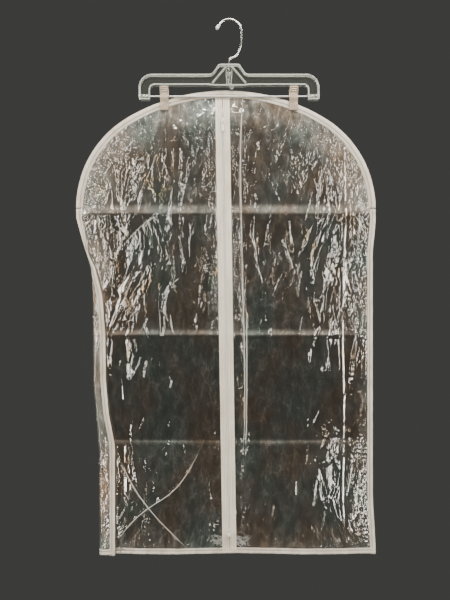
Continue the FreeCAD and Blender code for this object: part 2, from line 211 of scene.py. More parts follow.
def tubes(name, paths, radius, material, sides=5, end_share=1.0):
    """One object made of many closed tubes, which thin out to a share of their radius at the ends."""
    points, faces = [], []
    count = 0
    for path in paths:
        radii = np.full(len(path), radius)
        radii[[0, -1]] *= end_share
        points.append(tube_rings(path, radii, sides).reshape(-1, 3))
        faces += closed_faces(len(path), sides, count)
        count += len(path) * sides
    return mesh_object(name, np.concatenate(points), faces, material)


def set_attribute(piece, name, values):
    layer = piece.data.attributes.new(name, "FLOAT", "POINT")
    layer.data.foreach_set("value", np.asarray(values, np.float32).ravel())


def belongs(piece, body="bag", node=None):
    """Puts a piece under its body and, if it stands for a CAD node, hides that node."""
    if node:
        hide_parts(node)
    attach(piece, body)
    return piece


# How the flat bag hangs

def zip_across(z):
    """Place across of the zipper's middle line at a height."""
    return SLIDER_X - (z - SLIDER_Z) * LEAN


def from_zip(u, z):
    """Distance from the zipper's middle line."""
    return np.abs(u - zip_across(z))


def fold_line(z):
    """Distance from the bag's middle of the upright fold where the left edge turns to the front."""
    heights = [-1.06, -0.85, -0.80, -0.715, -0.56, -0.491, -0.444, -0.39, -0.10]
    reach = [0.2495, 0.2505, 0.2545, 0.2610, 0.2625, 0.2660, 0.2810, 0.2975, 0.2990]
    return np.interp(z, heights, reach)


def flap_width(z):
    """How far the turned edge reaches back over the front."""
    heights = [-1.06, -0.836, -0.776, -0.622, -0.545, -0.491, -0.444, -0.39]
    width = [0.0360, 0.0370, 0.0300, 0.0290, 0.0240, 0.0130, 0.0050, 0.0]
    return np.interp(z, heights, width)


def turned_over(u, z):
    """Whether a flat place lies beyond the left fold, on the part that faces the other way."""
    return FOLD_RADIUS - fold_line(z) - u * FLAP_SCALE > math.pi * FOLD_RADIUS


def hang(u, z, depth):
    """Where a point of the flat bag hangs. depth is how far it lies behind the seam."""
    u, z, depth = np.broadcast_arrays(u, z, depth)
    middle = zip_across(z)
    # The right edge is drawn in a little, most along its middle
    draw_in = 0.019 * smooth(-0.39, -0.47, z) * smooth(-1.06, -0.93, z) + 0.003
    right = middle + (u - middle) * (1 - draw_in)
    reach = fold_line(z)
    left_scale = (reach + flap_width(z) + middle) / (HALF_WIDTH + middle)
    left = middle + (u - middle) * left_scale
    across = np.where(u > middle, right, left)
    start = -(reach - FOLD_RADIUS)
    beyond = np.maximum(0, start - across)
    turned = np.minimum(beyond / FOLD_RADIUS, math.pi)
    spare = np.maximum(0, beyond - math.pi * FOLD_RADIUS)
    radius = np.maximum(FOLD_RADIUS + depth, 0.4 * MM)
    in_fold = beyond > 0
    x = np.where(in_fold, start - radius * np.sin(turned) + spare, across)
    y = np.where(in_fold, radius * np.cos(turned) - FOLD_RADIUS, depth)
    return np.stack([BAG_X + x, SEAM_Y + y, z], -1)


def arch_z(u, inset=0.0):
    """Height of the arch above a place across."""
    u = np.abs(u)
    crown = CROWN_Z + np.sqrt(np.maximum((CROWN_RADIUS - inset) ** 2 - u ** 2, 0))
    side = SPRING_Z + np.sqrt(np.maximum((SIDE_RADIUS - inset) ** 2 - (u - ARC_OFFSET) ** 2, 0))
    return np.where(u < (CROWN_RADIUS - inset) * math.sin(TANGENT), crown, side)


def edge_distance(u, z):
    """Distance in from the bag's outline."""
    u = np.abs(u)
    from_crown = CROWN_RADIUS - np.hypot(u, z - CROWN_Z)
    from_side_arc = SIDE_RADIUS - np.hypot(u - ARC_OFFSET, z - SPRING_Z)
    by_side_arc = (np.arctan2(u, z - CROWN_Z) >= TANGENT) & (u > ARC_OFFSET)
    from_arch = np.where(by_side_arc, from_side_arc, from_crown)
    from_edge = np.where(z > SPRING_Z, from_arch, HALF_WIDTH - u)
    return np.maximum(np.minimum(from_edge, z - BOTTOM_Z), 0)


# Creases in the film

def by_quarter(z, levels):
    """The level of the quarter that a height lies in, which changes sharply at the folds."""
    value = levels[0]
    for fold, upper, lower in zip(LEVEL_FOLDS, levels, levels[1:]):
        value = value + (lower - upper) * smooth(fold + 1 * MM, fold - 2 * MM, z)
    return value


def film_busyness(u, z):
    """How crumpled the film is, from 0 to 1: most by the zipper, the edges, the top and in some patches."""
    near_zip = bump_at(from_zip(u, z), 20 * MM, 24 * MM)
    near_side = bump_at(HALF_WIDTH - np.abs(u), 0, 62 * MM)
    near_top = smooth(-0.37, -0.34, z)
    near_foot = smooth(-0.97, -1.05, z)
    patches = smooth(0.1, 1.0, np.sin(u * 19 + z * 9 + 1.2) * np.sin(z * 15 - u * 11 + 0.7))
    level = 0.10 + 0.7 * near_zip + by_quarter(z, SIDE_CREASES) * near_side
    level = level + 0.42 * near_top + 0.5 * near_foot + 0.25 * patches
    return np.minimum(level, 1.0)


def random_place(rng):
    return rng.uniform(-HALF_WIDTH, HALF_WIDTH), rng.uniform(BOTTOM_Z, TOP_Z)


def add_swells(height, u, z, rng, count=26):
    """Adds broad, low swells."""
    for _ in range(count):
        cu, cz = random_place(rng)
        across = rng.uniform(28, 70) * MM
        tall = rng.uniform(60, 160) * MM
        height += rng.uniform(-2.4, 2.4) * MM * np.exp(-((u - cu) / across) ** 2 - ((z - cz) / tall) ** 2)


def add_short_creases(height, u, z, rng, count, spread, length, width, slope, gather):
    """Adds many short creases. Each is a soft-sided ridge or valley along a slightly bowed line."""
    columns = u[0]
    made = 0
    while made < count:
        cu, cz = random_place(rng)
        if cz > arch_z(cu) or rng.random() > (film_busyness(cu, cz) if gather else 1.0):
            continue
        made += 1
        angle = rng.normal(0.12, spread)
        half = rng.uniform(*length) / 2
        w = rng.uniform(*width)
        lift = rng.choice((-1, 1)) * rng.uniform(*slope) * w
        bow = rng.uniform(-1.2, 1.2)
        reach = half * 1.6 + 4 * w
        first, last = np.searchsorted(columns, (cu - reach, cu + reach))
        if last <= first:
            continue
        du = u[:, first:last] - cu
        dz = z[:, first:last] - cz
        along = du * math.sin(angle) + dz * math.cos(angle)
        across = du * math.cos(angle) - dz * math.sin(angle) + bow * along * along
        height[:, first:last] += lift * np.exp(-np.abs(across) / w) * np.exp(-(along / half) ** 4)


def add_packing_folds(height, u, z, size):
    """Adds the packing folds. By a level one the film comes forward up to it and steps back past it."""
    for at, (way, step) in zip(LEVEL_FOLDS, FOLD_STEPS):
        wander = 1.6 * MM * np.sin(u * 17 + at * 40) + 0.8 * MM * np.sin(u * 41)
        past = way * (z + wander - at)
        rise = np.exp(-np.maximum(past, 0) / (9 * MM))
        fall = np.exp(-np.maximum(-past, 0) / (2.6 * MM))
        height -= step * size * np.where(past > 0, rise, fall)
    for at, foot in UPRIGHT_FOLDS:
        wander = 1.2 * MM * np.sin(z * 19 + at * 30)
        ridge = np.exp(-np.abs(u + wander - at) / (3 * MM)) * smooth(foot - 20 * MM, foot + 40 * MM, z)
        height += 1.5 * MM * size * ridge * (1 if at < 0 else -1)


def beside_curve(u, z, points):
    """Distance from a smooth curve through three or four points, which side of it, and how far along it."""
    points = np.array(points)
    t = np.linspace(0, 1, len(points))
    fine = np.linspace(0, 1, 31)
    curve = np.stack([np.polyval(np.polyfit(t, points[:, k], len(points) - 1), fine) for k in (0, 1)], -1)
    nearest = np.full(u.shape, 1e9)
    side = np.ones(u.shape)
    along = np.zeros(u.shape)
    for k, (a, b) in enumerate(zip(curve[:-1], curve[1:])):
        ab = b - a
        share = np.clip(((u - a[0]) * ab[0] + (z - a[1]) * ab[1]) / (ab @ ab), 0, 1)
        d = np.hypot(u - a[0] - share * ab[0], z - a[1] - share * ab[1])
        closer = d < nearest
        nearest = np.where(closer, d, nearest)
        side = np.where(closer, np.where(ab[0] * (z - a[1]) > ab[1] * (u - a[0]), 1, -1), side)
        along = np.where(closer, (k + share) / (len(fine) - 1), along)
    return nearest, side, along


def add_long_crease(height, u, z, points, width, lift):
    height += lift * np.exp(-beside_curve(u, z, points)[0] / width)


def crease_offset(u, z, points):
    """Signed distance from a crease's painted highlight. It grows by the ends, so the line tapers off."""
    distance, side, along = beside_curve(u, z, points)
    taper = 3 * MM * (smooth(0.08, 0.0, along) + smooth(0.92, 1.0, along))
    return side * (distance + taper)


def add_clip_pulls(height, u, z, rng, count=9):
    """Adds creases that fan out below each clip."""
    for side in (-1, 1):
        clip_u = side * CLIP_X - BAG_X
        for k in range(count):
            angle = (k - count // 2) * 0.26 + rng.uniform(-0.07, 0.07)
            reach = rng.uniform(0.05, 0.13)
            start = (clip_u + 0.012 * math.sin(angle), -0.182)
            end = (start[0] + reach * math.sin(angle), start[1] - reach * math.cos(angle))
            middle = ((start[0] + end[0]) / 2 + rng.uniform(-3, 3) * MM, (start[1] + end[1]) / 2)
            add_long_crease(height, u, z, [start, middle, end], 2.6 * MM, rng.choice((-1, 1)) * 0.9 * MM)


def film_height(u, z, seed, front):
    """Creases of one sheet of film, as a height towards the back."""
    rng = np.random.default_rng(seed)
    height = np.zeros_like(u)
    add_swells(height, u, z, rng)
    for creases in SHORT_CREASES:
        add_short_creases(height, u, z, rng, *creases)
    height *= by_quarter(z, QUARTER_CREASES)
    add_packing_folds(height, u, z, 1.0 if front else 0.6)
    if front:
        for points in PAINTED_HIGHLIGHT_CREASES:
            add_long_crease(height, u, z, points, 2.4 * MM, -1.3 * MM)
    add_clip_pulls(height, u, z, rng)
    return height


def seam_wave(run, phase):
    """Uneven waves along a seam."""
    wave = np.sin(run * 2 * math.pi / (9 * MM) + phase + 3 * np.sin(run * 31 + phase))
    return wave + 0.6 * np.sin(run * 2 * math.pi / (5.3 * MM) + 2 * np.sin(run * 47))


def seam_puckers(u, z, rng):
    """Ripples square to the edge seams and to the zipper's, where the stitching gathers the film."""
    inset = edge_distance(u, z)
    phase = rng.uniform(0, 6)
    beside = seam_wave(np.where(z > SPRING_Z, np.arctan2(u, z - SPRING_Z + 0.2) * 0.3, z), phase)
    by_hem = smooth(10 * MM, -10 * MM, z - BOTTOM_Z - HALF_WIDTH + np.abs(u))
    wave = beside + (seam_wave(u, phase) - beside) * by_hem
    by_edge = np.exp(-np.maximum(inset - TAPE_REACH, 0) / (13 * MM))
    by_zip = np.exp(-np.maximum(from_zip(u, z) - TAPE_REACH, 0) / (12 * MM))
    wave_zip = np.sin(z * 2 * math.pi / (8 * MM) + 3 * np.sin(z * 37 + phase) + u * 60)
    return 0.55 * MM * wave * by_edge, 0.6 * MM * wave_zip * by_zip


# Sheets of film

def near_clip(u, z, side):
    """1 where a clip's jaws hold the film, or would once slid along."""
    off_clip = np.abs(u - side * CLIP_X + BAG_X)
    return smooth(34 * MM, 20 * MM, off_clip) * smooth(-0.225, -0.186, z)


def forward_share(inset, z):
    """How far forward the front lies: 0 on the rim, 1 away from it, and steeper by the hem."""
    reach = 46 * MM + 12 * MM * smooth(-0.5, -0.3, z)
    return smooth(13 * MM, reach, inset)


def quarter_belly(z):
    """0 at the level folds and 1 midway between them."""
    return np.abs(np.sin((z - LEVEL_FOLDS[0]) / QUARTER_HEIGHT * math.pi))


def front_base(u, z):
    """Depth of the smooth front film behind the seam: at the seam on the rim, then forward."""
    inset = edge_distance(u, z)
    off_zip = smooth(16 * MM, 70 * MM, from_zip(u, z))
    steep = forward_share(inset, z)
    gentle = smooth(12 * MM, 110 * MM, inset)
    belly = (FRONT_Y - SEAM_Y) * (steep + (gentle - steep) * off_zip)
    belly -= 4 * MM * off_zip * quarter_belly(z) * smooth(30 * MM, 170 * MM, inset)
    by_fold = smooth(60 * MM, 20 * MM, u + fold_line(z)) * smooth(-0.40, -0.50, z)
    return belly * (1 - by_fold) - 1.2 * MM * by_fold


def back_base(u, z):
    """Depth of the smooth back film behind the seam."""
    return FILM_GAP + 4 * MM * quarter_belly(z) * smooth(15 * MM, 160 * MM, edge_distance(u, z))


def film_depth(u, z, seed, front):
    """Depth of a sheet behind the seam: its smooth shape, its creases, and the ripples by its seams."""
    inset = edge_distance(u, z)
    calm_edge = smooth(11 * MM, 24 * MM, inset)
    calm_zip = smooth(TAPE_REACH, TAPE_REACH + 4 * MM, from_zip(u, z)) if front else 1.0
    near_fold = smooth(45 * MM, 15 * MM, u + fold_line(z)) * smooth(-0.40, -0.48, z)
    calm_fold = 1 - 0.75 * near_fold
    edge_ripple, zip_ripple = seam_puckers(u, z, np.random.default_rng(seed + 1))
    height = film_height(u, z, seed, front) * calm_edge * calm_zip * calm_fold
    height += edge_ripple * smooth(12 * MM, 16 * MM, inset) * calm_fold
    height *= 1 - np.maximum(near_clip(u, z, -1), near_clip(u, z, 1))
    if not front:
        return np.maximum(back_base(u, z) + height, FILM_GAP)
    height += zip_ripple * calm_zip * smooth(30 * MM, 60 * MM, inset)
    return np.minimum(front_base(u, z) + height, -FILM_GAP)


def panel_columns(low, high):
    """Places across, closer together where the arch is steep."""
    knee = ARC_OFFSET + SIDE_RADIUS * math.sin(TANGENT)
    turn = math.pi / 2 - TANGENT
    count = int(SIDE_RADIUS * turn / FILM_STEP)
    angles = TANGENT + turn * np.arange(1, count + 1) / count
    sides = ARC_OFFSET + (SIDE_RADIUS - FILM_INSET) * np.sin(angles)
    every = np.concatenate([-sides[::-1], np.arange(-knee, knee, FILM_STEP), sides])
    margin = 0.4 * FILM_STEP
    inside = every[(every > low + margin) & (every < high - margin)]
    return np.concatenate([[low], inside, [high]])


def panel_places(side):
    """Flat places of a sheet's grid of points, for a front half (side -1 or 1) or the whole back (0)."""
    edge = HALF_WIDTH - FILM_INSET
    columns = panel_columns(0 if side > 0 else -edge, 0 if side < 0 else edge)
    straight = np.arange(BOTTOM_Z + FILM_INSET, SPRING_Z, FILM_STEP)
    arch_rows = int(RISE / FILM_STEP)
    share = np.arange(arch_rows + 1) / arch_rows
    upper = SPRING_Z + (arch_z(columns, FILM_INSET) - SPRING_Z)[None, :] * share[:, None]
    z = np.concatenate([np.repeat(straight[:, None], len(columns), 1), upper])
    u = np.repeat(columns[None, :], len(z), 0)
    if side:
        by_zip = zip_across(z) + side * 8 * MM
        far = side * edge
        u = by_zip + (u / far) * (far - by_zip)
    return u, z


def level_bands(z):
    """1 on the smooth, flattened strips along the level folds, which also get painted reflection."""
    first, second, third = LEVEL_FOLDS
    bands = smooth(first + 20 * MM, first + 9 * MM, z) * smooth(first - 0.4 * MM, first + 0.8 * MM, z)
    middle = smooth(second + 14 * MM, second + 4 * MM, z) * smooth(second - 0.4 * MM, second + 0.8 * MM, z)
    lowest = smooth(third - 10 * MM, third - 1 * MM, z) * smooth(third + 1 * MM, third, z)
    return bands + 0.75 * middle + 0.5 * lowest


def film_crush(u, z):
    """How strong the fine crinkles are."""
    strength = 0.09 + 0.40 * film_busyness(u, z) ** 1.5
    return strength * (1 - 0.8 * level_bands(z)) * by_quarter(z, QUARTER_CREASES)


def film_haze_and_reflection(u, z, front):
    """Share of milky scatter by the top, seams and turned edge; painted reflection by arch and level folds.
    """
    inset = edge_distance(u, z)
    seam = np.exp(-np.maximum(inset - 11 * MM, 0) / (12 * MM))
    flap = smooth(-0.236, -0.262, u) * smooth(-0.40, -0.47, z)
    yoke = bump_at(u - zip_across(z), -0.030, 0.062) * smooth(-0.214, -0.208, z) if front else 0
    # Painted reflection of the ceiling: lighter film below the arch and on the bands by the level folds.
    by_arch = smooth(85 * MM, 35 * MM, inset) * smooth(-0.39, -0.36, z)
    band_reflection_and_seam_haze = 0.10 * level_bands(z) + 0.03 * seam + 0.06 * flap + 0.07 * yoke
    return band_reflection_and_seam_haze + by_quarter(z, QUARTER_HAZE) + 0.055 * by_arch


def film_panel(name, node, material, side, seed):
    """One sheet of film. side is -1 or 1 for a front half, and 0 for the whole back."""
    u, z = panel_places(side)
    front = side != 0
    points = hang(u, z, film_depth(u, z, seed, front))
    piece = mesh_object(name, points.reshape(-1, 3), grid_faces(*u.shape), material)
    set_attribute(piece, "haze_and_reflection", film_haze_and_reflection(u, z, front))
    set_attribute(piece, "crush", film_crush(u, z))
    for k, crease in enumerate(PAINTED_HIGHLIGHT_CREASES):
        offset = crease_offset(u, z, crease) if front else np.full(u.shape, NO_CREASE)
        set_attribute(piece, f"crease_{k}", offset)
    merge_close(piece, 0.05 * MM)
    return belongs(piece, node=node)


# Folded edge tape

def arch_place(angle, inset):
    """Flat place of a point on the arch. The angle runs from -90 to 90 degrees."""
    turn = np.abs(angle)
    on_crown = turn <= TANGENT
    crown = CROWN_RADIUS - inset
    side = SIDE_RADIUS - inset
    u = np.where(on_crown, crown * np.sin(turn), ARC_OFFSET + side * np.sin(turn))
    z = np.where(on_crown, CROWN_Z + crown * np.cos(turn), SPRING_Z + side * np.cos(turn))
    return np.sign(angle) * u, z


def arch_angles():
    """Angles evenly spaced along the arch, and how far along it they are."""
    crown = CROWN_RADIUS * TANGENT
    total = crown + SIDE_RADIUS * (math.pi / 2 - TANGENT)
    run = np.linspace(0, total, int(total / TAPE_STEP) + 1)
    half = np.where(run < crown, run / CROWN_RADIUS, TANGENT + (run - crown) / SIDE_RADIUS)
    return np.concatenate([-half[::-1], half[1:]]), np.concatenate([-run[::-1], run[1:]])


def tape_section(width, thick, wall):
    """Closed outline of folded tape as (inset, depth, painted shade): rolled at the edge, thinner inside."""
    roll = thick / 2
    flat = wall / 2
    # The third value is painted shade: dark sunk lines by the roll and a slightly darker inner half.
    front = [
        (0.0, 0.0, 0.2), (0.05, 0.55, 0), (0.16, 0.92, 0), (0.32, 1.0, 0), (0.46, 0.96, 0),
        (0.54, 0.70, 0.9), (0.60, 0.62, 1.0), (0.66, 0.70, 0.4), (0.76, 0.80, 0.2), (0.82, 0.60, 0.6),
        (0.88, 1.0, 0.2), (0.96, 1.0, 0.2), (1.0, 0.50, 0.6),
    ]
    points = [(width * a, -(roll if a < 0.5 else flat) * b, groove_shade) for a, b, groove_shade in front]
    back = [(a, -b, groove_shade) for a, b, groove_shade in points[1:]]
    return np.array(points + back[::-1])


def tape_ripple(run, seed, size):
    """A gentle unevenness along a tape, made of waves from 11 to 83 mm long."""
    rng = np.random.default_rng(seed)
    total = np.zeros_like(run)
    for wave_length in (83, 47, 29, 17, 11):
        total += rng.uniform(0.4, 1.0) * np.sin(run * 2 * math.pi / (wave_length * MM) + rng.uniform(0, 6.3))
    return total * size


def calm_at_clips(u, z):
    """1 in the open and 0 where a jaw or the rod lies close to the tape."""
    by_clip = np.maximum(bump_at(u, CLIP_X - BAG_X, 0.022), bump_at(u, -CLIP_X - BAG_X, 0.022))
    by_rod = smooth(-0.172, -0.158, z)
    return (1 - by_clip) * (1 - by_rod)


def swept_piece(name, material, rows, groove_shades, merge):
    """A closed strip through rows of points along it, with the share of painted shade on each row."""
    points = np.stack(rows, 1)
    piece = mesh_object(name, points.reshape(-1, 3), closed_faces(*points.shape[:2]), material)
    set_attribute(piece, "groove_shade", np.tile(groove_shades, len(points)))
    merge_close(piece, merge)
    return piece


def edge_tape(name, material, place_at, run, width, thick, wall, seed):
    """Folded tape along the run. place_at(run, inset) gives its flat places."""
    section = tape_section(width, thick, wall)
    sway = tape_ripple(run, seed, 0.10 * MM)
    lift = tape_ripple(run, seed + 1, LIFT)
    breadth = 1 + tape_ripple(run, seed + 2, 0.012)
    swell = tape_ripple(run, seed + 3, 0.05)
    rows = []
    for inset, depth, _ in section:
        u, z = place_at(run, inset * breadth + sway)
        calm = calm_at_clips(u, z)
        rows.append(hang(u, z, depth * (1 + swell * calm) + lift * calm))
    return swept_piece(name, material, rows, section[:, 2], 0.01 * MM)


def cut_neck_slot(tape):
    """The small rounded slot through the tape at the top, just behind the hanger's ring."""
    radius = SLOT_HEIGHT / 2
    work = bmesh.new()
    bmesh.ops.create_cone(work, cap_ends=True, segments=24, radius1=radius, radius2=radius, depth=20 * MM)
    for vert in work.verts:
        x, y, z = vert.co
        vert.co = (x + math.copysign((SLOT_LENGTH - SLOT_HEIGHT) / 2, x) + SLOT_X, z + SEAM_Y, y + SLOT_Z)
    bmesh.ops.recalc_face_normals(work, faces=work.faces)
    mesh = bpy.data.meshes.new("slot_cutter")
    work.to_mesh(mesh)
    work.free()
    cutter = add_object("slot_cutter", mesh)
    cut = tape.modifiers.new("neck_slot", "BOOLEAN")
    cut.object = cutter
    cut.operation = "DIFFERENCE"
    ready = tape.evaluated_get(bpy.context.evaluated_depsgraph_get())
    carved = bpy.data.meshes.new_from_object(ready)
    tape.modifiers.clear()
    tape.data = carved
    bpy.data.objects.remove(cutter)


def tape_stitches(place_at, run, width, wall, seed):
    """Paths of the stitches on both faces of a tape, which follow its lift."""
    inset = width * 0.82
    lift = tape_ripple(run, seed + 1, LIFT)
    paths = []
    for face in (-1, 1):
        rng = np.random.default_rng(seed + 5)
        depth = face * (wall * 0.5 + 0.1 * MM - STITCH_SINK)
        start = run[0] + 3 * MM
        while start + STITCH_LENGTH < run[-1] - 2 * MM:
            s = np.linspace(start, start + STITCH_LENGTH, 4) + rng.uniform(-0.12, 0.12) * MM
            u, z = place_at(s, inset + rng.uniform(-0.1, 0.1) * MM)
            path = hang(u, z, depth)
            middle = start + STITCH_LENGTH / 2
            u, z = place_at(middle, inset)
            way = -1 if turned_over(u, z) else 1
            path[:, 1] += way * np.interp(middle, run, lift) * calm_at_clips(u, z)
            paths.append(path)
            start += STITCH_PITCH
    return paths


def tape_kinds():
    """For each edge tape: its CAD node, its flat places, its run, and its width and two thicknesses."""
    angles, arch_run = arch_angles()
    side_run = np.arange(BOTTOM_Z + 1 * MM, SPRING_Z + 1 * MM, TAPE_STEP)
    hem_run = np.arange(-HALF_WIDTH, HALF_WIDTH + 1 * MM, TAPE_STEP)

    def arch_at(s, inset):
        return arch_place(np.interp(s, arch_run, angles), inset)

    def left_at(s, inset):
        return inset - HALF_WIDTH, s

    def right_at(s, inset):
        return HALF_WIDTH - inset, s

    def hem_at(s, inset):
        return s, BOTTOM_Z + inset + HEM_WAVE * (1 + np.sin(s * 21 + 1))

    return {
        "arch_tape": ("arch_binding", arch_at, arch_run, TAPE_REACH, 1.9 * MM, 1.3 * MM),
        "left_tape": ("side_binding_left", left_at, side_run, 11 * MM, 1.7 * MM, 1.2 * MM),
        "right_tape": ("side_binding_right", right_at, side_run, 11 * MM, 1.7 * MM, 1.2 * MM),
        "hem_tape": ("hem_binding", hem_at, hem_run, 11 * MM, 2.1 * MM, 1.6 * MM),
    }


def edge_tapes(tape_material, thread_material):
    """All the folded tapes and their stitches, as a list of pieces."""
    pieces = []
    seed = 40
    for name, (node, place_at, run, width, thick, wall) in tape_kinds().items():
        seed += 10
        tape = edge_tape(name, tape_material, place_at, run, width, thick, wall, seed)
        if node == "arch_binding":
            cut_neck_slot(tape)
        paths = tape_stitches(place_at, run, width, wall, seed)
        thread = tubes(name + "_stitches", paths, THREAD_RADIUS, thread_material, end_share=THREAD_END)
        pieces += [belongs(tape, node=node), belongs(thread)]
    return pieces


# Zipper

def zipper_line(z, across, forward):
    """A point beside the zipper's middle line, on the front of the film and forward of it."""
    u = zip_across(z) + across
    depth = (FRONT_Y - SEAM_Y) * forward_share(edge_distance(u, z), z) - 0.12 * MM - forward
    return hang(u, z, depth)


def zipper_rows():
    top = TOP_Z - 10 * MM
    low = BOTTOM_Z + 6 * MM
    return np.linspace(low, top, int((top - low) / TAPE_STEP) + 1)


def zipper_tape(name, side, material):
    """One woven tape, from the edge that carries the coil to the thick outer selvedge."""
    z = zipper_rows()
    # Distance across and height forward in mm, and the share of painted shade in the sunk lines there
    section = [
        (2.0, 0.10, 0.8), (2.5, 0.50, 0), (3.6, 0.55, 0), (4.6, 0.30, 0.8), (5.4, 0.42, 0),
        (7.0, 0.42, 0), (7.9, 0.26, 0.7), (8.7, 0.44, 0), (9.8, 0.44, 0), (10.5, 0.26, 0.7),
        (11.3, 0.46, 0), (12.6, 0.62, 0), (13.7, 0.56, 0), (14.15, 0.22, 0.3), (14.1, 0.0, 0),
        (8.0, -0.02, 0), (2.2, -0.02, 0),
    ]
    closing = smooth(-0.192, -0.180, z) + smooth(-1.019, -1.028, z)
    ripple = tape_ripple(z, 300 + side, 0.05 * MM)
    rows = []
    for across, forward, _ in section:
        wave = ripple * smooth(5, 14, across) - side * 1.6 * MM * closing * (1 - smooth(2, 8, across))
        rows.append(zipper_line(z, side * across * MM + wave, forward * MM + 0.12 * MM))
    groove_shades = [groove_shade for _, _, groove_shade in section]
    piece = swept_piece(f"woven_tape_{name}", material, rows, groove_shades, 0.005 * MM)
    return belongs(piece, node=f"zipper_tape_{name}")


def zipper_coil(name, side, material):
    """One half of the nylon coil: a flattened helix whose turns hook past the middle line."""
    pitch = 1.35 * MM
    top = TOP_Z - 36 * MM
    low = BOTTOM_Z + 36 * MM
    turns = int((top - low) / pitch)
    steps = 8
    angle = np.arange(turns * steps + 1) / steps * 2 * math.pi
    phase = math.pi if side > 0 else 0
    z = low + (angle + phase) / (2 * math.pi) * pitch
    reach = 0.95 * MM + 1.25 * MM * np.cos(angle)
    forward = 0.35 * MM + 0.42 * MM * np.sin(angle)
    piece = tubes(f"nylon_coil_{name}", [zipper_line(z, side * reach, forward)], 0.27 * MM, material)
    return belongs(piece, node=f"zipper_coil_{name}")


def zipper_stitches(material):
    """Two rows of stitches on each tape, which hold it to the film."""
    z = zipper_rows()
    paths = []
    for side in (-1, 1):
        for across in (10.2 * MM, 4.9 * MM):
            start = z[0] + 4 * MM
            while start < z[-1] - 6 * MM:
                s = np.linspace(start, start + STITCH_LENGTH, 4)
                paths.append(zipper_line(s, side * across, 0.42 * MM - ZIPPER_STITCH_SINK))
                start += STITCH_PITCH
    piece = tubes("zipper_stitches", paths, 0.22 * MM, material, end_share=THREAD_END)
    return belongs(piece)


# Clips

def clip_spring(side, material):
    """The torsion coil round the rod, with a leg by each handle."""
    node = f"clip_{side}_spring"
    low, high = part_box(node)
    centre = (low + high) / 2
    wire = 0.5 * MM
    radius = (high.z - low.z) / 2 - wire - 0.1 * MM
    half = (high.x - low.x) / 2 - wire
    turns = 8
    t = np.linspace(0, 1, turns * 16 + 1)
    angle = t * turns * 2 * math.pi + math.pi / 2
    x = centre.x - half + 2 * half * t
    coil = np.stack([x, centre.y + radius * np.cos(angle), centre.z + radius * np.sin(angle)], -1)
    front_leg = coil[0] + np.outer(np.linspace(1, 0.1, 5), [0, -1.4 * MM, 5 * MM])
    back_leg = coil[-1] + np.outer(np.linspace(0.1, 1, 5), [0, 3.6 * MM, 7.5 * MM])
    path = np.concatenate([front_leg, coil, back_leg])
    piece = tubes(f"clip_{side}_coil_spring", [path], wire, material, sides=8)
    return belongs(piece, f"clip_{side}", node)


# Materials

class Shading:
    """The shader nodes of one new material. A value for an input is a number, a colour or another socket."""

    def __init__(self, name):
        self.material = bpy.data.materials.new(name)
        self.material.use_nodes = True
        self.tree = self.material.node_tree
        self.tree.nodes.clear()
        self.output = self.node("OutputMaterial")

    def put(self, socket, value):
        if isinstance(value, bpy.types.NodeSocket):
            self.tree.links.new(value, socket)
        else:
            socket.default_value = value

    def node(self, kind, **values):
        """A new node. Each value goes to the input of its name, with _ for a space."""
        node = self.tree.nodes.new("ShaderNode" + kind)
        for name, value in values.items():
            self.put(node.inputs[name.replace("_", " ")], value)
        return node

    def finish(self, shader):
        self.put(self.output.inputs["Surface"], shader.outputs[0])
        return self.material

    def operate(self, kind, operation, *values):
        """The outputs of a maths node of a kind."""
        node = self.node(kind)
        node.operation = operation
        for socket, value in zip(node.inputs, values):
            self.put(socket, value)
        return node.outputs

    def maths(self, operation, *values):
        return self.operate("Math", operation, *values)[0]

    def add(self, a, b):
        return self.maths("ADD", a, b)

    def times(self, a, b):
        return self.maths("MULTIPLY", a, b)

    def attribute(self, name):
        node = self.node("Attribute")
        node.attribute_name = name
        return node.outputs["Fac"]

    def texture(self, kind, scale, **values):
        """A texture laid out in metres, with its own scale along each axis."""
        place = self.node("TexCoord").outputs["Object"]
        stretched = self.node("Mapping", Vector=place, Scale=scale).outputs["Vector"]
        return self.node(kind, Vector=stretched, Scale=1.0, **values)

    def noise(self, scale, detail, roughness, **values):
        return self.texture("TexNoise", scale, Detail=detail, Roughness=roughness, **values).outputs["Fac"]

    def ramp(self, value, stops):
        node = self.node("ValToRGB", Fac=value)
        elements = node.color_ramp.elements
        while len(elements) < len(stops):
            elements.new(0.5)
        for element, (position, colour) in zip(elements, stops):
            element.position = position
            element.color = (*colour, 1)
        return node.outputs["Color"]

    def fade(self, value, near, far):
        """1 up to the near value, falling softly to 0 at the far one."""
        node = self.node("MapRange", Value=value, From_Min=near, From_Max=far, To_Min=1.0, To_Max=0.0)
        node.interpolation_type = "SMOOTHSTEP"
        return node.outputs[0]

    def bump(self, height, strength, distance):
        return self.node("Bump", Height=height, Strength=strength, Distance=distance).outputs["Normal"]

    def mix_colours(self, share, first, second):
        node = self.node("Mix")
        node.data_type = "RGBA"
        for name, value in (("Factor", share), ("A", first), ("B", second)):
            self.put(node.inputs[name], value)
        return node.outputs["Result"]

    def mix_shaders(self, share, first, second):
        node = self.node("MixShader", Fac=share)
        self.put(node.inputs[1], first.outputs[0])
        self.put(node.inputs[2], second.outputs[0])
        return node


def warped_place(shade, spread):
    """A point's position pushed about by a slow noise, so that cell edges bend."""
    place = shade.node("TexCoord").outputs["Object"]
    slow = shade.node("TexNoise", Vector=place, Scale=26.0, Detail=3.0, Roughness=0.55)
    push = (spread, spread, spread)
    return shade.operate("VectorMath", "MULTIPLY_ADD", slow.outputs["Color"], push, place)[0]


def facets(shade, place, scale, slope, line_width):
    """Flat-sided creases in cells of size 1/scale: their height, and 1 on the lines where they meet."""
    stretched = shade.node("Mapping", Vector=place, Scale=scale).outputs["Vector"]
    cells = shade.node("TexVoronoi", Vector=stretched, Scale=1.0)
    cells.feature = "DISTANCE_TO_EDGE"
    distance = cells.outputs["Distance"]
    return shade.times(distance, slope / scale[0]), shade.fade(distance, 0.0, line_width * scale[0])


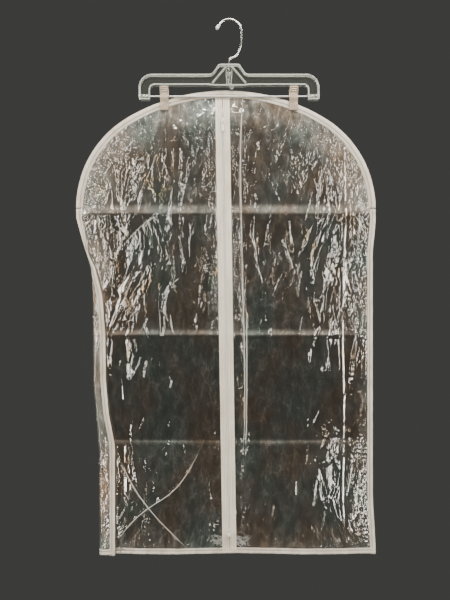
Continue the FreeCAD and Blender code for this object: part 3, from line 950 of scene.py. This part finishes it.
def painted_crease_highlights(shade, patch):
    """Painted highlight: thin white lines on the sharp creases, doubled in stretches by a fainter one
    beside.
    """
    wander = shade.times(patch, 3.4 * MM)
    total = None
    for k in range(len(PAINTED_HIGHLIGHT_CREASES)):
        offset = shade.attribute(f"crease_{k}")
        main = shade.fade(shade.maths("ABSOLUTE", offset), 0.35 * MM, 1.15 * MM)
        beside = shade.fade(shade.maths("ABSOLUTE", shade.add(offset, wander)), 0.25 * MM, 0.85 * MM)
        line = shade.add(shade.times(main, 0.62), shade.times(shade.times(beside, patch), 0.5))
        total = line if total is None else shade.maths("MAXIMUM", total, line)
    return total


def film_material():
    """Clear crinkled film: see-through, a sharp sheen on creases, a little milky scatter, painted
    highlights.
    """
    shade = Shading("clear_film")
    crush = shade.attribute("crush")
    haze_and_reflection = shade.attribute("haze_and_reflection")
    place = warped_place(shade, 0.028)
    broad, broad_lines = facets(shade, place, (78, 78, 27), 0.34, 0.9 * MM)
    narrow, narrow_lines = facets(shade, place, (165, 165, 58), 0.30, 0.6 * MM)
    grain = shade.times(shade.noise((150, 150, 60), 2.0, 0.5), 0.5 * MM)
    relief = shade.times(shade.add(shade.add(broad, narrow), grain), crush)
    normal = shade.bump(relief, 1.0, 1.0)

    tint = shade.noise((11, 11, 8), 3.0, 0.55)
    tones = [(0.36, (0.71, 0.64, 0.57)), (0.5, (0.68, 0.66, 0.63)), (0.64, (0.62, 0.67, 0.63))]
    through = shade.node("BsdfTransparent", Color=shade.ramp(tint, tones))

    warmth = [(0.30, (1.0, 0.76, 0.44)), (0.38, (1.0, 0.94, 0.85)), (0.6, (1.0, 0.99, 0.96))]
    glint = shade.ramp(shade.noise((17, 17, 14), 2.0, 0.5), warmth)
    dullness = shade.add(shade.times(crush, 0.22), 0.04)
    sheen = shade.node("BsdfGlossy", Color=glint, Roughness=dullness, Normal=normal)

    milk_tones = [(0.36, (0.74, 0.60, 0.46)), (0.5, (0.78, 0.73, 0.64)), (0.64, (0.66, 0.72, 0.64))]
    scatter_and_painted_light = shade.node("BsdfDiffuse", Color=shade.ramp(tint, milk_tones), Normal=normal)

    edge = shade.node("Fresnel", IOR=1.75, Normal=normal)
    clear = shade.mix_shaders(shade.maths("MINIMUM", edge.outputs[0], 0.2), through, sheen)

    patch = shade.noise((60, 60, 30), 7.0, 0.72)
    cloud = shade.times(shade.maths("POWER", patch, 2.0), 4.0)
    patchy = shade.node("MapRange", Value=patch, From_Min=0.42, From_Max=0.66).outputs[0]
    # Painted highlight: thin white lines where crinkle cells meet, strongest where crumpled or hazy.
    lines = shade.add(broad_lines, shade.times(narrow_lines, 0.5))
    strength = shade.add(shade.times(crush, 0.22), shade.times(haze_and_reflection, 1.8))
    lines = shade.times(shade.times(lines, patchy), strength)
    # The milky layer carries real scatter and painted light: reflection bands and the crease highlights.
    level = shade.add(shade.times(haze_and_reflection, cloud), lines)
    level = shade.maths("MAXIMUM", level, painted_crease_highlights(shade, patchy))
    return shade.finish(shade.mix_shaders(level, clear, scatter_and_painted_light))


def with_groove_shade(shade, value, stops, strength):
    """A colour ramp with painted shade: grey-brown mixed in by the share each row of a tape carries."""
    shadow = shade.times(shade.attribute("groove_shade"), strength)
    return shade.mix_colours(shadow, shade.ramp(value, stops), (0.13, 0.11, 0.085, 1))


def fabric(shade, colour, normal, roughness, fuzz):
    values = {"Base_Color": colour, "Normal": normal, "Roughness": roughness, "Sheen_Weight": fuzz}
    return shade.finish(shade.node("BsdfPrincipled", **values))


def tape_material():
    """White non-woven edge tape with a fine emboss, slight soiling and painted shade along its sunk lines.
    """
    shade = Shading("edge_tape")
    fibres = shade.noise((420, 420, 900), 6.0, 0.7)
    emboss = shade.texture("TexVoronoi", (900, 900, 900))
    stain = shade.noise((45, 45, 28), 4.0, 0.6)
    tones = [(0.25, (0.42, 0.35, 0.26)), (0.5, (0.60, 0.53, 0.43)), (0.75, (0.74, 0.68, 0.57))]
    colour = with_groove_shade(shade, stain, tones, 0.72)
    height = shade.add(fibres, shade.times(emboss.outputs["Distance"], 0.6))
    return fabric(shade, colour, shade.bump(height, 0.5, 0.35 * MM), 0.72, 0.15)


def zipper_tape_material():
    """White woven tape: ribs along its length, a finer weft across, and painted shade in its sunk lines."""
    shade = Shading("woven_tape")
    ribs = shade.texture("TexWave", (320, 320, 320), Distortion=0.4)
    ribs.bands_direction = "X"
    weft = shade.texture("TexWave", (500, 500, 500))
    weft.bands_direction = "Z"
    stain = shade.noise((60, 60, 18), 3.0, 0.6)
    colour = with_groove_shade(shade, stain, [(0.3, (0.60, 0.52, 0.39)), (0.7, (0.78, 0.70, 0.56))], 0.62)
    height = shade.add(ribs.outputs["Fac"], shade.times(weft.outputs["Fac"], 0.6))
    return fabric(shade, colour, shade.bump(height, 0.6, 0.18 * MM), 0.68, 0.2)


def plain_material(name, colour, roughness, grain, metallic=0.0, spread=0.06, relief=0.03, coat=0.0, painted_shade_reach=0):
    """A solid finish: slightly mottled, with a relief in mm and painted shade in corners within a reach."""
    shade = Shading(name)
    noise = shade.noise((grain, grain, grain), 5.0, 0.6)
    dark = tuple(c * (1 - spread * 2) for c in colour)
    light = tuple(min(c * (1 + spread), 1) for c in colour)
    tone = shade.ramp(noise, [(0.3, dark), (0.7, light)])
    # Painted shade: ambient occlusion darkens the colour in corners and hollows, as beside the clips' ribs.
    if painted_shade_reach:
        corners = shade.node("AmbientOcclusion", Distance=painted_shade_reach)
        corners.samples = 6
        openness = shade.maths("POWER", corners.outputs["AO"], 3.0)
        tone = shade.mix_colours(openness, (*(c * 0.06 for c in colour), 1), tone)
    rough = shade.node("MapRange", Value=noise, To_Min=roughness * 0.75, To_Max=roughness * 1.3)
    values = {"Base_Color": tone, "Roughness": rough.outputs[0], "Metallic": metallic, "Coat_Weight": coat}
    if relief:
        values["Normal"] = shade.bump(noise, 0.4, relief * MM)
    return shade.finish(shade.node("BsdfPrincipled", **values))


def hanger_material():
    """Clear moulded polystyrene: faint grey-green, painted highlight on edges, clean sheen, flow marks."""
    shade = Shading("clear_moulding")
    noise = shade.noise((40, 40, 110), 3.0, 0.5, Distortion=0.8)
    normal = shade.bump(noise, 0.1, 0.15 * MM)
    through = shade.node("BsdfTransparent", Color=(0.80, 0.83, 0.77, 1))
    pale = shade.ramp(noise, [(0.3, (0.90, 0.90, 0.82)), (0.7, (0.99, 0.99, 0.92))])
    body = shade.node("BsdfDiffuse", Color=pale)
    sheen = shade.node("BsdfGlossy", Roughness=0.08, Normal=normal)
    # Painted highlight: pale diffuse colour is mixed in where the rounded normal turns from the flat one.
    rounded = shade.node("Bevel", Radius=1.9 * MM)
    rounded.samples = 4
    flat = shade.node("NewGeometry").outputs["Normal"]
    turn = shade.operate("VectorMath", "DOT_PRODUCT", rounded.outputs[0], flat)["Value"]
    painted_edge_highlight = shade.times(shade.maths("SUBTRACT", 1.0, turn), 14.0)
    painted_edge_highlight = shade.maths("MINIMUM", painted_edge_highlight, 0.96)
    haze_and_painted_edges = shade.mix_shaders(shade.add(painted_edge_highlight, 0.02), through, body)
    edge = shade.node("Fresnel", IOR=1.59, Normal=normal)
    return shade.finish(shade.mix_shaders(edge.outputs[0], haze_and_painted_edges, sheen))


def finish_cad(node, material, bevel=0.0):
    """Gives a CAD node its material and, given a bevel width, softens its edges."""
    piece = frame["nodes"][node]
    piece.data.materials.clear()
    piece.data.materials.append(material)
    if bevel:
        weld = piece.modifiers.new("weld", "WELD")
        weld.merge_threshold = 0.005 * MM
        edge = piece.modifiers.new("bevel", "BEVEL")
        edge.width = bevel
        edge.segments = 2
        edge.limit_method = "ANGLE"
        edge.angle_limit = math.radians(40)


# Surroundings

def area_light(name, place, target, size, power, colour=(1, 1, 1)):
    light = bpy.data.lights.new(name, "AREA")
    light.shape = "RECTANGLE"
    light.size, light.size_y = size
    light.energy = power
    light.color = colour
    holder = add_object(name, light)
    holder.location = place
    holder.rotation_euler = (Vector(target) - Vector(place)).to_track_quat("-Z", "Y").to_euler()
    holder.visible_camera = False


def lights():
    """A dark room with softboxes above and behind, and strips that draw the highlights on the creases."""
    world = bpy.data.worlds.new("dark_room")
    bpy.context.scene.world = world
    world.use_nodes = True
    world.node_tree.nodes["Background"].inputs["Color"].default_value = (0.052, 0.053, 0.050, 1)
    middle = (0, 0, (TOP_Z + BOTTOM_Z) / 2)
    cream = (1.0, 0.97, 0.92)
    area_light("ceiling_softbox", (0.1, -0.85, 1.15), middle, (2.0, 0.30), 84, (1.0, 0.98, 0.94))
    for name, z, tall, power in (("upper", -0.25, 1.2, 6.0), ("lower", -1.36, 0.38, 1.9)):
        area_light(f"left_{name}_strip", (-0.62, -1.35, z), (0, 0, z), (0.08, tall), power, cream)
        area_light(f"right_{name}_strip", (0.66, -1.30, z), (0, 0, z), (0.08, tall), power, cream)
    area_light("left_far_strip", (-1.5, -1.0, -0.55), middle, (0.20, 1.9), 20, cream)
    area_light("right_far_strip", (1.5, -0.95, -0.55), middle, (0.20, 1.9), 24, (1.0, 0.96, 0.90))
    area_light("rear_softbox", (0.3, 1.5, 0.9), middle, (1.8, 0.4), 40)
    area_light("rear_left_strip", (-0.9, 1.4, -0.55), middle, (0.08, 1.9), 14)
    area_light("rear_right_strip", (1.0, 1.35, -0.55), middle, (0.08, 1.9), 16)


def floor():
    """A pale disc below the bag."""
    sides = 64
    radius = 0.42
    z = BOTTOM_Z - 0.40
    angles = np.arange(sides) / sides * 2 * math.pi
    points = [(0, 0, z)] + [(radius * math.cos(a), radius * math.sin(a), z) for a in angles]
    faces = [(0, 1 + k, 1 + (k + 1) % sides) for k in range(sides)]
    pale = plain_material("pale_floor", (0.72, 0.71, 0.69), 0.7, 8, spread=0.02, relief=0.0)
    mesh_object("floor", points, faces, pale)


def camera():
    data = bpy.data.cameras.new("camera")
    data.lens = 36.35
    holder = add_object("camera", data)
    holder.location = (-0.0079, -1.2, -0.5546)
    holder.rotation_euler = (math.pi / 2, 0, 0)
    bpy.context.scene.camera = holder


# The whole object

def build_bag():
    film = film_material()
    tape = tape_material()
    thread = plain_material("thread", (0.84, 0.79, 0.70), 0.6, 1500, relief=0.05)
    woven = zipper_tape_material()
    nylon = plain_material("nylon_coil", (0.82, 0.78, 0.70), 0.35, 900)
    enamel = plain_material("white_enamel", (0.80, 0.76, 0.69), 0.3, 300, coat=0.4)

    back = film_panel("back_film", "back_panel", film, 0, 7)
    left = film_panel("front_film_left", "front_panel_left", film, -1, 21)
    right = film_panel("front_film_right", "front_panel_right", film, 1, 33)
    tapes = edge_tapes(tape, thread)
    for name, side in SIDES:
        zipper_tape(name, side, woven)
    for name, side in SIDES:
        zipper_coil(name, side, nylon)
    zipper_stitches(thread)
    for node in ("zipper_slider", "slider_puller", "zipper_top_stops", "zipper_bottom_stop"):
        finish_cad(node, enamel, 0.2 * MM)


def build_hanger():
    wire = plain_material("plated_wire", (0.80, 0.78, 0.71), 0.24, 140, metallic=1.0)
    rod = plain_material("plated_rod", (0.60, 0.58, 0.55), 0.34, 140, metallic=1.0)
    # The nickel leaves get painted shade in the hollows beside their ribs.
    nickel = plain_material("nickel", (0.64, 0.50, 0.37), 0.34, 260, metallic=0.55, painted_shade_reach=2.2 * MM)
    steel = plain_material("spring_steel", (0.60, 0.59, 0.57), 0.3, 400, metallic=1.0)
    vinyl = plain_material("dark_vinyl", (0.085, 0.065, 0.058), 0.5, 400)
    tip = plain_material("tip_vinyl", (0.78, 0.77, 0.73), 0.35, 300)
    for side, _ in SIDES:
        clip_spring(side, steel)
        for leaf in ("front_leaf", "back_leaf"):
            finish_cad(f"clip_{side}_{leaf}", nickel, 0.15 * MM)
        for pad in ("front_pad", "back_pad"):
            finish_cad(f"clip_{side}_{pad}", vinyl, 0.2 * MM)
    finish_cad("hanger_hook", wire)
    finish_cad("hook_collar", wire)
    finish_cad("hook_tip", tip)
    finish_cad("hanger_body", hanger_material(), 0.4 * MM)
    finish_cad("clip_rod", rod)


camera()
lights()
floor()
build_bag()
build_hanger()
